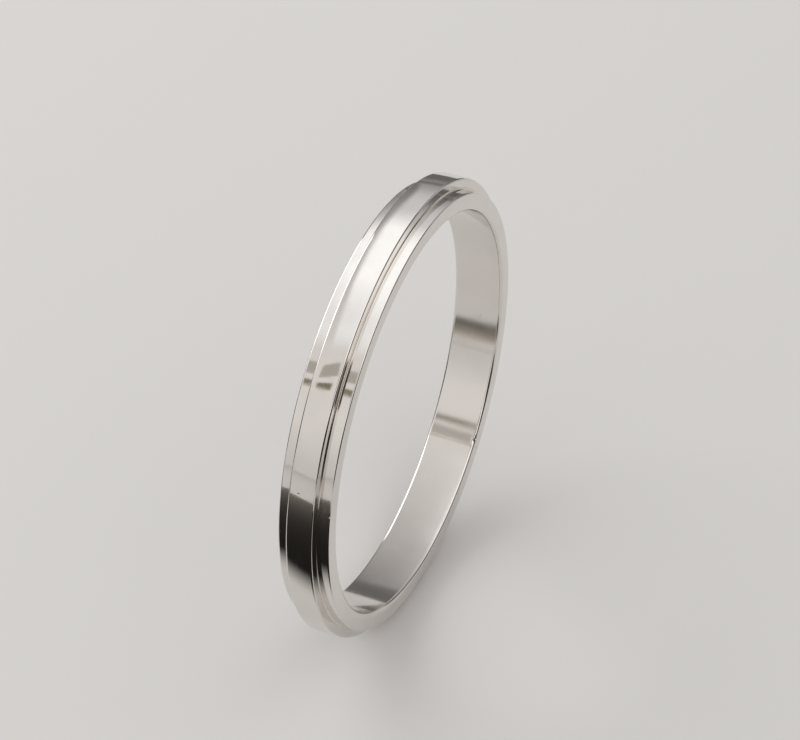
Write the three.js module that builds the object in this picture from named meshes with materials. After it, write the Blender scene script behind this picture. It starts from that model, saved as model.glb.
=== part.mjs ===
// Wedding band in polished white metal, made of two layers, standing on its rim.
// A wide lower band is closed round the finger, and a narrower raised band is soldered round its middle.
// The lower band's margins stay bare on both sides as stepped rails.
// Millimetres, +Z up. The finger hole runs along Y, and the origin is the centre of the hole.
import * as THREE from 'three';

// Lower band: the full width strip that touches the finger.
const boreDiameter = 16.5;
const bandWidth = 2.1;
const baseWall = 0.735;
const boreEdgeRadius = 0.13;
const railEdgeRadius = 0.06;

// Raised centre band: the narrower strip round the lower band's middle.
const centreWidth = 1.08;
const centreWall = 0.427;
const centreEdgeRadius = 0.08;
const crownHeight = 0.012;

// Sweat solder: the film between the two bands, drawn out to a small fillet along each foot of the step.
const solderFilm = 0.03;
const filletReach = 0.05;
const filletClimb = 0.06;

// Butt seams: each band is a bent strip whose two ends meet and are soldered.
const baseSeamWidth = 0.12;
const centreSeamWidth = 0.1;
const baseSeamDegrees = 228.75;
const centreSeamDegrees = 311.25;

// Facets round the ring, and steps in each rounded edge, fillet and half of the crown.
const facetsRound = 96;
const boreEdgeSteps = 3;
const railEdgeSteps = 2;
const centreEdgeSteps = 3;
const crownSteps = 2;
const filletSteps = 3;
const leastStepShare = 0.05;

// Radii and half widths that the pieces share, so that they meet face to face.
const boreRadius = boreDiameter / 2;
const railRadius = boreRadius + baseWall;
const stripRadius = railRadius + solderFilm;
const crownRadius = stripRadius + centreWall;
const shoulderRadius = crownRadius - crownHeight;
const halfBand = bandWidth / 2;
const halfCentre = centreWidth / 2;

const whiteGold = new THREE.MeshStandardMaterial({ color: 0xd8d2ca, roughness: 0.12, metalness: 1 });
const whiteGoldSolder = new THREE.MeshStandardMaterial({ color: 0xcfc6b4, roughness: 0.22, metalness: 1 });

// Points of an elliptic arc in the section, as [across the band, radius], both ends included.
function arc(across, radius, reachAcross, reachRadius, startDegrees, endDegrees, steps) {
  return Array.from({ length: steps + 1 }, (_, index) => {
    const turn = THREE.MathUtils.degToRad(startDegrees + (endDegrees - startDegrees) * index / steps);
    return [across + reachAcross * Math.cos(turn), radius + reachRadius * Math.sin(turn)];
  });
}

// A whole section from its right half, which runs from the lowest point up. A point on the middle is kept once.
function bothSides(rightHalf) {
  const leftHalf = rightHalf.filter(([across]) => across > 0).map(([across, radius]) => [-across, radius]);
  return [...rightHalf, ...leftHalf.reverse()];
}

// Section of the lower band: eased edges at the bore, crisp rail corners outside.
function baseSection() {
  return bothSides([
    ...arc(halfBand - boreEdgeRadius, boreRadius + boreEdgeRadius, boreEdgeRadius, boreEdgeRadius, -90, 0, boreEdgeSteps),
    ...arc(halfBand - railEdgeRadius, railRadius - railEdgeRadius, railEdgeRadius, railEdgeRadius, 0, 90, railEdgeSteps),
  ]);
}

// Section of the raised band: a flat underside, upright sides, softened shoulders and a very low crown.
function centreSection() {
  const flatHalf = halfCentre - centreEdgeRadius;
  const crown = Array.from({ length: crownSteps }, (_, index) => {
    const share = 1 - (index + 1) / crownSteps;
    return [flatHalf * share, shoulderRadius + crownHeight * (1 - share * share)];
  });
  return bothSides([
    [halfCentre, stripRadius],
    ...arc(flatHalf, shoulderRadius - centreEdgeRadius, centreEdgeRadius, centreEdgeRadius, 0, 90, centreEdgeSteps),
    ...crown,
  ]);
}

// Section of the sweat solder: a thin channel that holds the raised band, with a hollow fillet on each side.
function solderSection() {
  const filletTop = stripRadius + filletClimb;
  return bothSides([
    ...arc(halfCentre + filletReach, filletTop, filletReach, filletTop - railRadius, 270, 180, filletSteps),
    [halfCentre, stripRadius],
  ]);
}

// The two end faces of a butt seam, as angles round the ring.
function seamEnds(degrees, width, middleRadius) {
  const middle = THREE.MathUtils.degToRad(degrees);
  const half = Math.atan2(width / 2, middleRadius);
  return { start: middle - half, end: middle + half };
}

const baseSeam = seamEnds(baseSeamDegrees, baseSeamWidth, (boreRadius + railRadius) / 2);
const centreSeam = seamEnds(centreSeamDegrees, centreSeamWidth, (stripRadius + crownRadius) / 2);

// One list of angles for every piece. A facet lies flat at the very bottom, where the band stands.
function ringAngles() {
  const step = 2 * Math.PI / facetsRound;
  const seamFaces = [baseSeam.start, baseSeam.end, centreSeam.start, centreSeam.end];
  const corners = Array.from({ length: facetsRound }, (_, index) => (index + 0.5) * step);
  const clear = corners.filter((angle) => seamFaces.every((face) => Math.abs(angle - face) > step * leastStepShare));
  return [...clear, ...seamFaces].sort((first, second) => first - second);
}

const angles = ringAngles();

// Angles of an open band, from its seam's far face all the way round to the near face.
function aroundFrom(seam) {
  return [...angles.filter((angle) => angle >= seam.end), ...angles.filter((angle) => angle <= seam.start)];
}

// Angles of the solder that fills a seam.
function within(seam) {
  return angles.filter((angle) => angle >= seam.start && angle <= seam.end);
}

// Carries a section round the Y axis, and caps both ends where the ring is open.
function sweep(section, turns, closed) {
  const count = section.length;
  const positions = turns.flatMap((turn) => section.flatMap(
    ([across, radius]) => [radius * Math.cos(turn), across, radius * Math.sin(turn)]));
  const faces = [];
  const spans = closed ? turns.length : turns.length - 1;
  for (let span = 0; span < spans; span += 1) {
    const here = span * count;
    const next = (span + 1) % turns.length * count;
    for (let index = 0; index < count; index += 1) {
      const after = (index + 1) % count;
      faces.push(here + index, next + index, next + after, here + index, next + after, here + after);
    }
  }
  if (!closed) {
    const contour = section.map(([across, radius]) => new THREE.Vector2(across, radius));
    const last = (turns.length - 1) * count;
    for (const [first, second, third] of THREE.ShapeUtils.triangulateShape(contour, [])) {
      faces.push(first, second, third, last + first, last + third, last + second);
    }
  }
  const geometry = new THREE.BufferGeometry();
  geometry.setAttribute('position', new THREE.Float32BufferAttribute(positions, 3));
  geometry.setIndex(faces);
  geometry.computeVertexNormals();
  return geometry;
}

function piece(name, geometry, material) {
  const mesh = new THREE.Mesh(geometry, material);
  mesh.name = name;
  return mesh;
}

// Lower band, bent round the finger from one strip.
function baseBand() {
  return piece('base_band', sweep(baseSection(), aroundFrom(baseSeam), false), whiteGold);
}

// Raised centre band, bent round the lower band from a narrower strip.
function centreBand() {
  return piece('centre_band', sweep(centreSection(), aroundFrom(centreSeam), false), whiteGold);
}

// Film of solder that joins the two bands all the way round.
function sweatSolder() {
  return piece('sweat_solder', sweep(solderSection(), angles, true), whiteGoldSolder);
}

// Solder in the lower band's butt seam, dressed flush.
function baseSeamSolder() {
  return piece('base_seam_solder', sweep(baseSection(), within(baseSeam), false), whiteGoldSolder);
}

// Solder in the raised band's butt seam, dressed flush.
function centreSeamSolder() {
  return piece('centre_seam_solder', sweep(centreSection(), within(centreSeam), false), whiteGoldSolder);
}

const band = new THREE.Group();
band.name = 'wedding_band';
band.add(baseBand(), centreBand(), sweatSolder(), baseSeamSolder(), centreSeamSolder());

export default band;
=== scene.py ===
# Wedding band in polished white gold, standing on its rim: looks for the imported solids, in metres.
import math

import bpy
import numpy as np
from mathutils import Matrix, Vector


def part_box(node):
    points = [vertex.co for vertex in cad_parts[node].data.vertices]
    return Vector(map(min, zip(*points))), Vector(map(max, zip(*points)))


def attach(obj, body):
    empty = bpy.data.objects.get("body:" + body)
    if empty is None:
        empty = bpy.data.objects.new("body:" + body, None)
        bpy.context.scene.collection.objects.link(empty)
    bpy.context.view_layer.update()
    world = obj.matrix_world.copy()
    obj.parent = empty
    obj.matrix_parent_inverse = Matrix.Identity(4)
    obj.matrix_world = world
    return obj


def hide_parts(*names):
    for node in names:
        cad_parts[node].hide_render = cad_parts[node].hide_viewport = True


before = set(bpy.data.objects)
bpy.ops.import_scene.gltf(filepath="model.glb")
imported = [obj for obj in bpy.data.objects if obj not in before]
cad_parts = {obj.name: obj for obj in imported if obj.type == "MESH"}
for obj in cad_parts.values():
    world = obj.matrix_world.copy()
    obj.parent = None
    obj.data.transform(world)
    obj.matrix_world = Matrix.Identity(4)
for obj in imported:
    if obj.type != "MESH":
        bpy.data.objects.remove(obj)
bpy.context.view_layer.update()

# Camera. It stands to the front right of the ring, looks down on it, and sees the right side face.
# The finger hole runs along Y, so the camera's place is given by its turn from X and its height angle.
camera_turn = math.radians(23.6)
camera_height = math.radians(40.33)
camera_distance = 0.1268
aim_above_centre = 0.00143
aim_right_of_centre = 0.00005
lens = 143.8
sensor = 36.0

right = Vector((-math.sin(camera_turn), math.cos(camera_turn), 0.0))
level_back = Vector((math.cos(camera_turn), math.sin(camera_turn), 0.0))
back = level_back * math.cos(camera_height) + Vector((0.0, 0.0, math.sin(camera_height)))
up = back.cross(right)
camera_data = bpy.data.cameras.new("camera")
camera_data.lens = lens
camera_data.sensor_width = sensor
camera_data.clip_start = 0.01
camera_data.clip_end = 10.0
camera = bpy.data.objects.new("camera", camera_data)
camera_place = back * camera_distance + up * aim_above_centre + right * aim_right_of_centre
camera.matrix_world = Matrix.Translation(camera_place) @ Matrix((right, up, back)).transposed().to_4x4()
bpy.context.scene.collection.objects.link(camera)
bpy.context.scene.camera = camera
bpy.context.scene.view_settings.view_transform = "Standard"

# Table top. A pale matt sheet that mirrors nothing, level with the lowest point of the rim and wide enough
# for every view. The solids end on facets, so a true radius is their half height over the cosine of half a
# facet's angle.
facets_round = 96
facet_share = math.cos(math.pi / facets_round)
crown_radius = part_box("centre_band")[1].z / facet_share
table_level = -crown_radius
table_half = 1.2
table_colour = (0.70, 0.695, 0.69, 1.0)
table_roughness = 0.6


class Wire:
    """A socket of a node tree. Arithmetic on it adds Math nodes, and node() adds any other node."""

    def __init__(self, tree, socket=None):
        self.tree = tree
        self.socket = socket

    def node(self, kind, settings=None, inputs=None, output=0):
        """A node of that kind with its settings, and its inputs given as values or as wires."""
        made = self.tree.nodes.new(kind)
        for name, value in (settings or {}).items():
            setattr(made, name, value)
        for name, value in (inputs or {}).items():
            if isinstance(value, Wire):
                self.tree.links.new(value.socket, made.inputs[name])
            else:
                made.inputs[name].default_value = value
        return Wire(self.tree, made.outputs[output] if made.outputs else None)

    def maths(self, operation, first, second=0.0):
        return self.node("ShaderNodeMath", {"operation": operation}, {0: first, 1: second})

    def __add__(self, other):
        return self.maths("ADD", self, other)

    def __radd__(self, other):
        return self.maths("ADD", other, self)

    def __sub__(self, other):
        return self.maths("SUBTRACT", self, other)

    def __rsub__(self, other):
        return self.maths("SUBTRACT", other, self)

    def __mul__(self, other):
        return self.maths("MULTIPLY", self, other)

    def __rmul__(self, other):
        return self.maths("MULTIPLY", other, self)

    def between(self, low, high):
        """0 below low, 1 above high, and a smooth rise from one to the other."""
        return self.node("ShaderNodeMapRange", {"interpolation_type": "SMOOTHSTEP"},
                         {"Value": self, "From Min": low, "From Max": high})

    def mixed(self, first, second):
        """The first colour where this value is 0, the second where it is 1. Sockets 6 and 7 take colours."""
        inputs = {"Factor": self, 6: first, 7: second}
        return self.node("ShaderNodeMix", {"data_type": "RGBA"}, inputs, output=2)

    def split(self):
        """The x, y and z of this vector."""
        return [self.node("ShaderNodeSeparateXYZ", None, {"Vector": self}, output=index)
                for index in range(3)]


def bare_material(name):
    """A new material with its node tree emptied, and a Wire to build in it."""
    material = bpy.data.materials.new(name)
    material.use_nodes = True
    material.node_tree.nodes.clear()
    return material, Wire(material.node_tree)


def flat_sheet(name, corners, material):
    """One flat face between its corners, in the scene but no part of the ring."""
    mesh = bpy.data.meshes.new(name)
    mesh.from_pydata([tuple(corner) for corner in corners], [], [tuple(range(len(corners)))])
    mesh.materials.append(material)
    sheet = bpy.data.objects.new(name, mesh)
    bpy.context.scene.collection.objects.link(sheet)
    return sheet


table_material, table_wire = bare_material("table_sheet")
matt = table_wire.node("ShaderNodeBsdfPrincipled", None,
                       {"Base Color": table_colour, "Roughness": table_roughness, "Specular IOR Level": 0.0})
table_wire.node("ShaderNodeOutputMaterial", None, {"Surface": matt})
table_corners = [(x * table_half, y * table_half, table_level)
                 for x, y in ((-1, -1), (1, -1), (1, 1), (-1, 1))]
flat_sheet("table", table_corners, table_material)

# Studio light. A pale room, lighter in front and overhead than low down behind, and lighter again high on
# the right, with one soft box on the left that throws a soft shadow to the right. The lamp is set so that
# the table comes out about as its colour is written: its power is its radiance times pi times its area.
front_low, front_high = 0.65, 0.82
front_rises_to = 0.45
back_low, back_high = 0.19, 0.50
back_rises_to = 0.95
all_behind, all_in_front = -0.75, 0.8
right_more = 0.5
right_rises_to = 0.6
right_starts, right_full = 0.33, 0.62
room_colour = (1.0, 0.975, 0.95, 1.0)
soft_box_turn = math.radians(258)
soft_box_height = math.radians(33)
soft_box_distance = 0.34
soft_box_side = 0.32
soft_box_radiance = 1.8
soft_box_colour = (1.0, 0.985, 0.965)

world = bpy.data.worlds.new("room")
world.use_nodes = True
world.node_tree.nodes.clear()
bpy.context.scene.world = world
room_wire = Wire(world.node_tree)
forward, rightward, upward = room_wire.node("ShaderNodeTexCoord").split()
# The limits of each rise are parts of a unit direction.
in_front = front_low + upward.between(0.0, front_rises_to) * (front_high - front_low)
behind = back_low + upward.between(0.0, back_rises_to) * (back_high - back_low)
share = forward.between(all_behind, all_in_front)
on_the_right = rightward.between(0.0, right_rises_to) * upward.between(right_starts, right_full) * right_more
room_strength = in_front * share + behind * (1 - share) + on_the_right
room = room_wire.node("ShaderNodeBackground", None, {"Color": room_colour, "Strength": room_strength})
room_wire.node("ShaderNodeOutputWorld", None, {"Surface": room})


def outward(turn, height):
    """The direction at a turn from X and a height angle."""
    return Vector((math.cos(turn) * math.cos(height), math.sin(turn) * math.cos(height), math.sin(height)))


lamp = bpy.data.lights.new("soft_box", "AREA")
lamp.shape = "SQUARE"
lamp.size = soft_box_side
lamp.energy = soft_box_radiance * math.pi * soft_box_side ** 2
lamp.color = soft_box_colour
soft_box = bpy.data.objects.new("soft_box", lamp)
soft_box.location = outward(soft_box_turn, soft_box_height) * soft_box_distance
soft_box.rotation_euler = outward(soft_box_turn, soft_box_height).to_track_quat("Z", "Y").to_euler()
soft_box.visible_camera = False
bpy.context.scene.collection.objects.link(soft_box)

# Cards, screens and a diffuser, all outside the main picture, as they are set up round shiny metal to shape
# what it mirrors. They show only in the metal: they shade nothing, and no camera sees them.
card_lift = 0.0002
black = (0.022, 0.020, 0.018, 1.0)
object_place = 3


def card(name, corners, colour=black, strength=None, solid=None):
    """A card of one colour between its corners. strength and solid are functions of x, y and z on it: how
    bright the colour is there, and how solid the card is, from 0 to 1."""
    material, card_wire = bare_material(name)
    xyz = card_wire.node("ShaderNodeTexCoord", output=object_place).split()
    surface = card_wire.node("ShaderNodeEmission", None,
                             {"Color": colour, "Strength": strength(*xyz) if strength else 1.0})
    if solid:
        clear = card_wire.node("ShaderNodeBsdfTransparent")
        surface = card_wire.node("ShaderNodeMixShader", None, {0: solid(*xyz), 1: clear, 2: surface})
    card_wire.node("ShaderNodeOutputMaterial", None, {"Surface": surface})
    made = flat_sheet(name, corners, material)
    made.visible_camera = False
    made.visible_diffuse = False
    made.visible_shadow = False


def on_table(nearer, to_right):
    """A point on the table, by its distance towards the camera and to its right."""
    return level_back * nearer + right * to_right + Vector((0.0, 0.0, table_level + card_lift))


def towards_camera(x, y):
    """How far a place lies towards the camera, measured level."""
    return x * level_back.x + y * level_back.y


def to_the_right(x, y):
    """How far a place lies to the right of the picture's middle."""
    return x * right.x + y * right.y


# Black cards on the table in front, to the left and to the right of the picture. The one in front has a
# painted sheen: it glows lighter at a low angle, standing in for the reflection on a glossy card. Its inner
# edge and those of the right card are soft, where the metal mirrors them.
# The front card's painted sheen: the index of its Fresnel, its gain and its least strength.
painted_sheen_ior = 1.5
painted_sheen_gain = 75
painted_sheen_least = 0.5
front_edge, front_soft = 0.0095, 0.0135
front_near_left = -0.07
front_far_x, front_far_left, front_far_right = 0.060, -0.075, 0.03
side_far = 0.12
right_edge, right_soft = 0.017, 0.032
right_edge_behind = 0.0215
right_near = 0.09
side_back = -0.045
right_back_clear, right_back_soft = -0.042, -0.012
left_edge, left_edge_behind = -0.0175, -0.0225


def black_with_painted_sheen(x, y, z):
    """Black seen from above, with a painted sheen that glows lighter at a low angle: the least, plus the gain
    times Fresnel squared.
    """
    sheen = x.node("ShaderNodeFresnel", None, {"IOR": painted_sheen_ior})
    return painted_sheen_least + sheen * sheen * painted_sheen_gain


def front_solid(x, y, z):
    """Clear at the card's edge next to the ring, and solid a little nearer the camera."""
    return towards_camera(x, y).between(front_edge, front_soft)


def right_solid(x, y, z):
    """Clear at the card's edge next to the ring and at its back end."""
    from_left = to_the_right(x, y).between(right_edge, right_soft)
    from_back = towards_camera(x, y).between(right_back_clear, right_back_soft)
    return from_left * from_back


card("front_card", [on_table(front_edge, front_near_left),
                    Vector((front_far_x, front_far_left, table_level + card_lift)),
                    Vector((front_far_x, front_far_right, table_level + card_lift)),
                    on_table(front_edge, right_edge)], strength=black_with_painted_sheen, solid=front_solid)
card("right_card", [on_table(right_near, right_edge), on_table(right_near, side_far),
                    on_table(side_back, side_far), on_table(side_back, right_edge_behind)], solid=right_solid)
card("left_card", [on_table(0.0, left_edge), on_table(0.0, -side_far),
                   on_table(side_back, -side_far), on_table(side_back, left_edge_behind)])

# Black screens that stand on the table behind those cards, and a low dark grey one at the back. All of them
# fade out towards their tops.
screen_top = 0.045
screen_fade_from = 0.028
left_fade_from, left_fade_to = 0.008, 0.030
right_screen_near, right_screen_back = 0.07, -0.06
left_screen_near, left_screen_back = 0.03, -0.09
front_screen_turn = math.radians(29)
front_screen_distance = 0.125
back_turn = math.radians(200)
back_distance = 0.062
back_half_width = 0.055
back_rise = 0.03
back_fade_to = 0.017
back_grey = (0.15, 0.145, 0.14, 1.0)


def standing(from_foot, to_foot, rise):
    """Four corners of a screen that stands on the table."""
    lift = Vector((0.0, 0.0, rise))
    return from_foot, to_foot, to_foot + lift, from_foot + lift


def screen_fade(low, high):
    """A screen that is solid below one level and gone above the other."""
    return lambda x, y, z: 1 - z.between(low, high)


screen_rise = screen_top - table_level
right_corner = on_table(right_screen_near, side_far)
front_corner = outward(front_screen_turn, 0.0) * front_screen_distance + Vector((0.0, 0.0, table_level))
left_corner = on_table(left_screen_near, -side_far)
card("right_screen", standing(right_corner, on_table(right_screen_back, side_far), screen_rise),
     solid=screen_fade(screen_fade_from, screen_top))
card("front_screen", standing(front_corner, right_corner, screen_rise),
     solid=screen_fade(screen_fade_from, screen_top))
card("left_screen", standing(left_corner, on_table(left_screen_back, -side_far), screen_rise),
     solid=screen_fade(left_fade_from, left_fade_to))
back_along = Vector((-math.sin(back_turn), math.cos(back_turn), 0.0)) * back_half_width
back_foot = outward(back_turn, 0.0) * back_distance + Vector((0.0, 0.0, table_level))
card("back_screen", standing(back_foot - back_along, back_foot + back_along, back_rise), back_grey,
     solid=screen_fade(0.0, back_fade_to))

# Diffuser that hangs close above, sloping down to the back. Its left edge is a parabola, so that the outside
# mirrors it and the inside just doesn't. It is brightest in the middle and fades out at the other edges.
diffuser_middle, diffuser_slope = 0.034, 0.35
diffuser_front, diffuser_back = 0.028, -0.068
diffuser_left, diffuser_right = -0.026, 0.018
fade_at_front, fade_at_back, fade_at_right = 0.016, -0.060, 0.009
edge_nearest, edge_nearest_x, edge_bow, edge_soft = -0.0101, -0.011, 4.6, 0.0009
diffuser_least = 0.36
diffuser_changes = ((-0.060, -0.024, 0.36), (-0.026, -0.014, 0.55), (-0.004, 0.012, -0.27))
diffuser_colour = (0.985, 0.99, 1.0, 1.0)


def diffuser_strength(x, y, z):
    """The least, plus each change as x goes from its start to its end: dim at the back, brightest over the
    middle, and a little dimmer again in front."""
    strength = diffuser_least
    for start, end, change in diffuser_changes:
        strength = strength + x.between(start, end) * change
    return strength


def diffuser_solid(x, y, z):
    """Gone left of the parabola y = nearest - bow times the square of x from its nearest point."""
    from_nearest = x - edge_nearest_x
    past_edge = y - edge_nearest + from_nearest * from_nearest * edge_bow
    return (past_edge.between(-edge_soft, edge_soft) * (1 - y.between(fade_at_right, diffuser_right))
            * x.between(diffuser_back, fade_at_back) * (1 - x.between(fade_at_front, diffuser_front)))


diffuser_corners = [Vector((x, y, diffuser_middle + diffuser_slope * x)) for x, y in (
    (diffuser_back, diffuser_left), (diffuser_front, diffuser_left),
    (diffuser_front, diffuser_right), (diffuser_back, diffuser_right))]
card("diffuser", diffuser_corners, diffuser_colour, strength=diffuser_strength, solid=diffuser_solid)

# Two small cards across the left of the camera, which the outside mirrors as soft patches. Each corner is
# given by its angle about the Y axis in degrees and its place along that axis.
patch_distance = 0.13
patch_grey = (0.45, 0.425, 0.39, 1.0)
patch_olive = (0.20, 0.185, 0.13, 1.0)
olive_clear_below, olive_full_above = 0.0833, 0.0878


def patch_card(name, corners, colour, solid=None):
    """A small card whose corners lie on a cylinder round the Y axis."""
    card(name, [Vector((patch_distance * math.cos(math.radians(angle)), across,
                        patch_distance * math.sin(math.radians(angle)))) for angle, across in corners],
         colour, solid=solid)


patch_card("grey_card", [(45.9, -0.0516), (51.8, -0.0495), (55.0, -0.0300), (49.0, -0.0280)], patch_grey)
patch_card("olive_card", [(39.8, -0.0510), (43.3, -0.0521), (45.2, -0.0315), (41.5, -0.0325)], patch_olive,
           solid=lambda x, y, z: z.between(olive_clear_below, olive_full_above))

# A dark round card in place of the camera, which the metal mirrors. Its rim is soft.
lens_above_camera = 0.005
lens_core, lens_rim = 0.018, 0.030
lens_sides = 48
lens_colour = (0.085, 0.068, 0.052, 1.0)
lens_middle = camera_place + up * lens_above_camera


def soft_round(x, y, z):
    """1 near the middle of the card and 0 at its rim, by the square of the distance from the middle."""
    away = [place - middle for place, middle in zip((x, y, z), lens_middle)]
    squared = away[0] * away[0] + away[1] * away[1] + away[2] * away[2]
    return 1 - squared.between(lens_core ** 2, lens_rim ** 2)


lens_corners = [lens_middle + (right * math.cos(turn) + up * math.sin(turn)) * lens_rim
                for turn in np.linspace(0, 2 * math.pi, lens_sides + 1)[:-1]]
card("lens_front", lens_corners, lens_colour, solid=soft_round)

# Lower band. A full width strip of white gold, rolled flat, bent round and closed by a butt seam.
# Its edges are eased where they meet the finger, and its margins stay bare as the two rails.
half_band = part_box("base_band")[1].y
rail_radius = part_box("base_band")[1].z / facet_share
base_wall = 0.000735
bore_radius = rail_radius - base_wall
bore_edge = 0.00013
rail_edge = 0.00006
base_seam_turn = math.radians(228.75)
base_seam_width = 0.00012
seam_points = 5
turns_round = 480
least_step = 1e-5
same_point = 1e-9
crease = math.radians(40)
mm_in_metre = 1000.0
nick_steps = 25
nick_span = 2.5
base_nicks = [
    {"turn": math.radians(227.2), "across": half_band, "radius": bore_radius, "push": (-0.8, 0.6),
     "reach": 0.00011, "depth": 0.000045},
    {"turn": math.radians(225.9), "across": half_band, "radius": bore_radius, "push": (-0.7, 0.7),
     "reach": 0.00006, "depth": 0.00002},
    {"turn": math.radians(12.0), "across": half_band, "radius": rail_radius, "push": (-0.7, -0.7),
     "reach": 0.00005, "depth": 0.000012},
    {"turn": math.radians(331.0), "across": -half_band, "radius": rail_radius, "push": (0.7, -0.7),
     "reach": 0.00007, "depth": 0.000015},
]

# Its hand polish, as waves of (count round the ring, size, phase, phase per metre across), times a height.
base_polish = 0.0000006
polish_waves = ((7, 1.0, 0.4, 0), (17, 0.6, 2.1, 900), (41, 0.35, 1.3, -1700), (67, 0.2, 0, 2600))

# Its finish. Places on the metal are read in millimetres. Polish lines are stretched along the ring, stray
# scratches cross them at two angles and only here and there, and haze comes in faint clouds.
gold_light = (0.795, 0.762, 0.728, 1)
gold_dark = (0.762, 0.730, 0.697, 1)
band_line_depth = 0.4
base_roughness = 0.055
base_seed = 3.0
line_scale = (0.35, 42.0, 1.0)
stray_scale = (0.5, 6.0, 1.0)
stray_kinds = ((math.radians(27), 0.012), (math.radians(-48), 0.01))
stray_core, stray_rim = 0.15, 0.6
stray_from, stray_full = 0.55, 0.68
haze_from, haze_full, haze_dull_from, haze_dull_full = 0.35, 0.7, 0.45, 0.75
haze_dulls, stray_dulls, line_dulls, satin_dulls = 0.04, 0.12, 0.02, 0.04
stray_depth = 0.35
satin_lines = 2
satin_tone = 0.5
satin_soft = 0.05
bump_share = 0.25
bump_distance = 0.000001
length_output = 1


def arc(across, radius, reach, start, end, points):
    """A quarter round of the section: centre plus reach times cosine and sine of an evenly stepped angle."""
    angle = np.radians(np.linspace(start, end, points))
    return np.stack([across + reach * np.cos(angle), radius + reach * np.sin(angle)], 1)


def stretch(start, end, points):
    """A straight stretch of the section, its points closer together near both ends by a cosine."""
    along = (1 - np.cos(np.linspace(0, np.pi, points))) / 2
    return np.array(start) + (np.array(end) - np.array(start)) * along[:, None]


def joined(*stretches):
    """Stretches laid end to end as one closed section, each shared end kept once."""
    points = np.concatenate(stretches)
    apart = np.linalg.norm(points - np.roll(points, 1, axis=0), axis=1) > same_point
    return points[apart]


def mirrored(half):
    """A section from its right half, which runs from the lowest point up, and that half's mirror image."""
    return joined(half, (half * (-1, 1))[::-1])


def seam_ends(turn, width, middle_radius):
    """The two faces of a butt seam, as angles either side of its middle."""
    half = math.atan2(width / 2, middle_radius)
    return turn - half, turn + half


def turns_between(start, end, nicks):
    """Even steps from start to end, with close steps added across each nick. A nick whose angle lies past the
    end is taken a full turn earlier."""
    even = np.linspace(start, end, turns_round)
    spread = np.linspace(-nick_span, nick_span, nick_steps)
    close = []
    for nick in nicks:
        middle = nick["turn"] - (2 * math.pi if nick["turn"] > end else 0)
        close.append(middle + spread * nick["reach"] / nick["radius"])
    turns = np.unique(np.concatenate([even, *close]))
    turns = turns[(turns >= start) & (turns <= end)]
    return turns[np.append(True, np.diff(turns) > least_step)]


def hand_polish(turn, across, height):
    """How far a hand polished surface stands off true: height times the sum of size times the sine of count
    times angle plus phase, over a few long low waves round the ring and across it."""
    waves = sum(size * np.sin(count * turn + phase + across * skew)
                for count, size, phase, skew in polish_waves)
    return height * waves


def turned_mesh(name, section, turns, closed, polish, nicks=()):
    """A section carried round the Y axis. Vertex = (r cos t, y, r sin t), with r off true by the hand polish.
    A nick moves it by depth times a bell curve of its distance from the nick. The UV map holds the length
    round the ring and the length along the section, both in millimetres."""
    rows, columns = len(turns), len(section)
    turn = np.repeat(turns[:, None], columns, axis=1)
    across = np.repeat(section[None, :, 0], rows, axis=0)
    radius = section[None, :, 1] + hand_polish(turn, across, polish)
    for nick in nicks:
        around = (turn - nick["turn"] + np.pi) % (2 * np.pi) - np.pi
        squared = (around * radius) ** 2 + (across - nick["across"]) ** 2 + (radius - nick["radius"]) ** 2
        away = np.sqrt(squared)
        bell = nick["depth"] * np.exp(-(away / nick["reach"]) ** 2)
        across = across + bell * nick["push"][0]
        radius = radius + bell * nick["push"][1]
    points = np.stack([radius * np.cos(turn), across, radius * np.sin(turn)], 2).reshape(-1, 3)

    spans = rows if closed else rows - 1
    first = np.arange(spans)[:, None] * columns
    ahead = (first + columns) % (rows * columns)
    here = np.arange(columns)[None, :]
    after = (here + 1) % columns
    faces = np.stack([first + here, ahead + here, ahead + after, first + after], 2).reshape(-1, 4).tolist()
    if not closed:
        faces += [list(range(columns)), list(range((rows - 1) * columns, rows * columns))[::-1]]
    mesh = bpy.data.meshes.new(name)
    mesh.from_pydata(points.tolist(), [], faces)

    steps = np.linalg.norm(np.roll(section, -1, axis=0) - section, axis=1)
    along = np.append(0.0, np.cumsum(steps)) * mm_in_metre
    round_ring = np.append(turns, turns[0] + 2 * np.pi)[:spans + 1] * section[:, 1].mean() * mm_in_metre
    corner_u = np.stack([round_ring[:-1], round_ring[1:], round_ring[1:], round_ring[:-1]], 1)[:, None, :]
    corner_v = np.stack([along[:-1], along[:-1], along[1:], along[1:]], 1)[None, :, :]
    corners = np.stack(np.broadcast_arrays(corner_u, corner_v), 3).reshape(-1, 2)
    layer = np.zeros((len(mesh.loops), 2))
    layer[:len(corners)] = corners
    mesh.uv_layers.new(name="polish").data.foreach_set("uv", layer.ravel())
    mesh.polygons.foreach_set("use_smooth", [True] * len(mesh.polygons))
    mesh.update()
    mesh.set_sharp_from_angle(angle=crease)
    piece = bpy.data.objects.new(name, mesh)
    bpy.context.scene.collection.objects.link(piece)
    return piece


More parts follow.
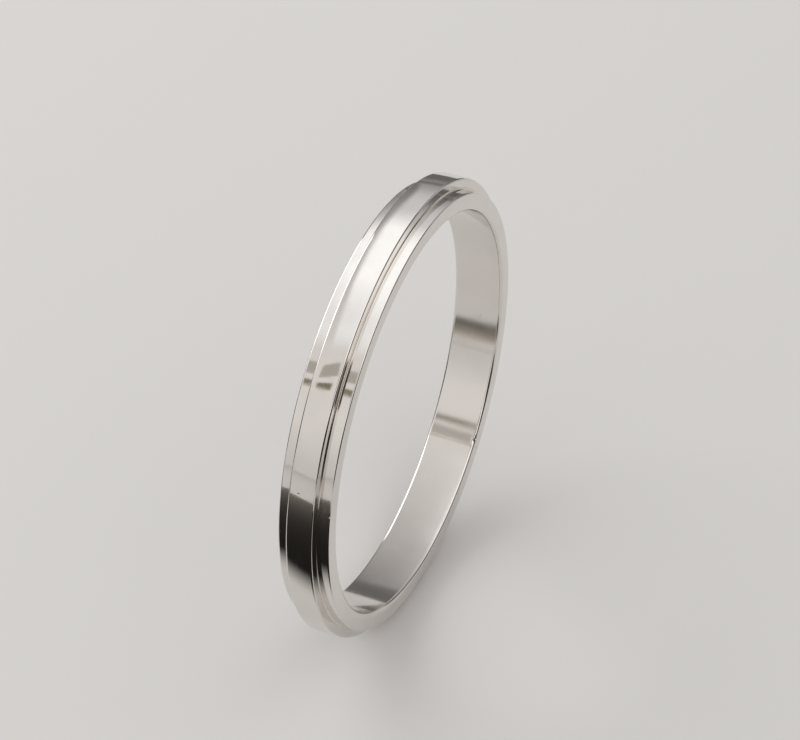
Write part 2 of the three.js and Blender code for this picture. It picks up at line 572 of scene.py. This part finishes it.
def polished_gold(name, light, dark, roughness, line_depth, seed, satin_below=None):
    """White metal after the mop: a mirror with fine lines round the ring, a few stray scratches and faint
    haze. Where satin_below is given, the metal nearer the axis than that radius is a little more drawn and
    duller."""
    material, start = bare_material(name)
    place = start.node("ShaderNodeTexCoord", output=object_place)
    place_mm = start.node("ShaderNodeVectorMath", {"operation": "SCALE"},
                          {0: place, "Scale": mm_in_metre})
    seeded = start.node("ShaderNodeMapping", None,
                        {"Vector": place_mm, "Location": (seed, seed * 2, seed * 3)})
    surface = start.node("ShaderNodeUVMap", {"uv_map": "polish"})
    drawn = start.node("ShaderNodeMapping", None, {"Vector": surface, "Scale": line_scale})
    lines = start.node("ShaderNodeTexNoise", None,
                       {"Vector": drawn, "Scale": 1.0, "Detail": 3.0, "Roughness": 0.6})
    haze = start.node("ShaderNodeTexNoise", None,
                      {"Vector": seeded, "Scale": 0.9, "Detail": 4.0, "Roughness": 0.55})
    strays = []
    for tilt, width in stray_kinds:
        tilted = start.node("ShaderNodeMapping", None,
                            {"Vector": surface, "Rotation": (0, 0, tilt), "Scale": stray_scale})
        ridge = start.node("ShaderNodeTexNoise", None,
                           {"Vector": tilted, "Scale": 1.3, "Detail": 1.0, "Roughness": 0.4})
        from_ridge = start.maths("ABSOLUTE", ridge - 0.5)
        strays.append(1 - from_ridge.between(width * stray_core, width * stray_rim))
    patches = start.node("ShaderNodeTexNoise", None, {"Vector": seeded, "Scale": 1.7, "Detail": 0.0})
    stray = start.maths("MAXIMUM", *strays) * patches.between(stray_from, stray_full)
    colour = haze.between(haze_from, haze_full).mixed(light, dark)
    dull = haze.between(haze_dull_from, haze_dull_full)
    rough = roughness + dull * haze_dulls + stray * stray_dulls + lines * line_dulls
    depth = lines * line_depth
    if satin_below:
        level = start.node("ShaderNodeVectorMath", {"operation": "MULTIPLY"},
                           {0: place_mm, 1: (1.0, 0.0, 1.0)})
        from_axis = start.node("ShaderNodeVectorMath", {"operation": "LENGTH"}, {0: level},
                               output=length_output)
        satin_edge = satin_below * mm_in_metre
        satin = 1 - from_axis.between(satin_edge - satin_soft, satin_edge)
        rough = rough + satin * satin_dulls
        depth = depth + lines * satin * (line_depth * satin_lines)
        colour = (satin * satin_tone).mixed(colour, dark)
    height = depth - stray * stray_depth
    bump = start.node("ShaderNodeBump", None,
                      {"Strength": bump_share, "Distance": bump_distance, "Height": height})
    shader = start.node("ShaderNodeBsdfPrincipled", None,
                        {"Base Color": colour, "Metallic": 1.0, "Roughness": rough, "Normal": bump})
    start.node("ShaderNodeOutputMaterial", None, {"Surface": shader})
    return material


base_section = mirrored(joined(
    stretch((0, bore_radius), (half_band - bore_edge, bore_radius), points=16),
    arc(half_band - bore_edge, bore_radius + bore_edge, bore_edge, -90, 0, points=12),
    stretch((half_band, bore_radius + bore_edge), (half_band, rail_radius - rail_edge), points=12),
    arc(half_band - rail_edge, rail_radius - rail_edge, rail_edge, 0, 90, points=8),
    stretch((half_band - rail_edge, rail_radius), (0, rail_radius), points=20)))
base_seam = seam_ends(base_seam_turn, base_seam_width, (bore_radius + rail_radius) / 2)
base_band = turned_mesh("lower_band", base_section,
                        turns_between(base_seam[1] - 2 * math.pi, base_seam[0], base_nicks),
                        False, base_polish, base_nicks)
base_band.data.materials.append(
    polished_gold("lower_band_gold", gold_light, gold_dark, base_roughness, band_line_depth, base_seed,
                  satin_below=bore_radius + bore_edge))
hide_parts("base_band")
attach(base_band, "root")

# Solder in the lower band's butt seam. It is hard solder, a little greyer and warmer than the gold. It is
# filed flush with the band and polished with it, so it has the band's own section.
solder_light = (0.75, 0.71, 0.66, 1)
solder_dark = (0.70, 0.66, 0.61, 1)
solder_roughness = 0.11
solder_line_depth = 1.5
solder_seed = 7.0
solder_gold = polished_gold("seam_solder", solder_light, solder_dark, solder_roughness, solder_line_depth,
                            solder_seed)
base_seam_fill = turned_mesh("lower_band_seam", base_section, np.linspace(*base_seam, seam_points),
                             False, base_polish, base_nicks)
base_seam_fill.data.materials.append(solder_gold)
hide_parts("base_seam_solder")
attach(base_seam_fill, "root")

# Raised centre band. A narrower strip of the same white gold with softened shoulders and a very low crown,
# bent round the lower band and closed by a butt seam of its own.
half_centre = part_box("centre_band")[1].y
solder_film = 0.00003
strip_radius = rail_radius + solder_film
centre_edge = 0.00008
crown_height = 0.000012
shoulder_radius = crown_radius - crown_height
centre_seam_turn = math.radians(311.25)
centre_seam_width = 0.0001
centre_polish = 0.0000008
centre_roughness = 0.05
centre_seed = 11.0
centre_nicks = [
    {"turn": math.radians(17.3), "across": -0.00013, "radius": crown_radius, "push": (0.0, -1.0),
     "reach": 0.000025, "depth": 0.000004},
    {"turn": math.radians(3.5), "across": half_centre, "radius": shoulder_radius, "push": (-0.7, -0.7),
     "reach": 0.00005, "depth": 0.000014},
    {"turn": math.radians(139.0), "across": -half_centre, "radius": shoulder_radius, "push": (0.7, -0.7),
     "reach": 0.00007, "depth": 0.000016},
]


def low_crown(flat_half, shoulder, rise, points):
    """The top of the section from its shoulder to the middle: a parabola that rises by the crown's height."""
    across = flat_half * (1 + np.cos(np.linspace(0, np.pi, points))) / 2
    return np.stack([across, shoulder + rise * (1 - (across / flat_half) ** 2)], 1)


centre_flat = half_centre - centre_edge
centre_section = mirrored(joined(
    stretch((0, strip_radius), (half_centre, strip_radius), points=8),
    stretch((half_centre, strip_radius), (half_centre, shoulder_radius - centre_edge), points=10),
    arc(centre_flat, shoulder_radius - centre_edge, centre_edge, 0, 90, points=12),
    low_crown(centre_flat, shoulder_radius, crown_height, points=24)))
centre_seam = seam_ends(centre_seam_turn, centre_seam_width, (strip_radius + crown_radius) / 2)
centre_band = turned_mesh("raised_centre_band", centre_section,
                          turns_between(centre_seam[1] - 2 * math.pi, centre_seam[0], centre_nicks),
                          False, centre_polish, centre_nicks)
centre_band.data.materials.append(
    polished_gold("centre_band_gold", gold_light, gold_dark, centre_roughness, band_line_depth, centre_seed))
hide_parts("centre_band")
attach(centre_band, "root")

# Solder in the raised band's butt seam. It is the same hard solder, nearly a quarter turn on from the other
# seam, and is filed flush and polished with the band.
centre_seam_fill = turned_mesh("centre_band_seam", centre_section, np.linspace(*centre_seam, seam_points),
                               False, centre_polish)
centre_seam_fill.data.materials.append(solder_gold)
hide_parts("centre_seam_solder")
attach(centre_seam_fill, "root")

# Sweat solder. The film of the same solder that holds the two bands together all the way round. The heat
# draws it out to a small hollow fillet at each foot of the step.
half_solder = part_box("sweat_solder")[1].y
fillet_reach = half_solder - half_centre
fillet_climb = 0.00006
fillet_top = strip_radius + fillet_climb


def hollow_fillet(points):
    """A quarter ellipse from the rail up to the raised band's side, bowed in towards the corner."""
    angle = np.radians(np.linspace(270, 180, points))
    return np.stack([half_solder + fillet_reach * np.cos(angle),
                     fillet_top + (fillet_top - rail_radius) * np.sin(angle)], 1)


solder_section = mirrored(joined(
    stretch((0, rail_radius), (half_solder, rail_radius), points=6),
    hollow_fillet(points=12),
    stretch((half_centre, fillet_top), (half_centre, strip_radius), points=4),
    stretch((half_centre, strip_radius), (0, strip_radius), points=6)))
sweat_solder = turned_mesh("sweat_solder_line", solder_section,
                           np.linspace(0, 2 * math.pi, turns_round + 1)[:-1], True, 0.0)
sweat_solder.data.materials.append(solder_gold)
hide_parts("sweat_solder")
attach(sweat_solder, "root")
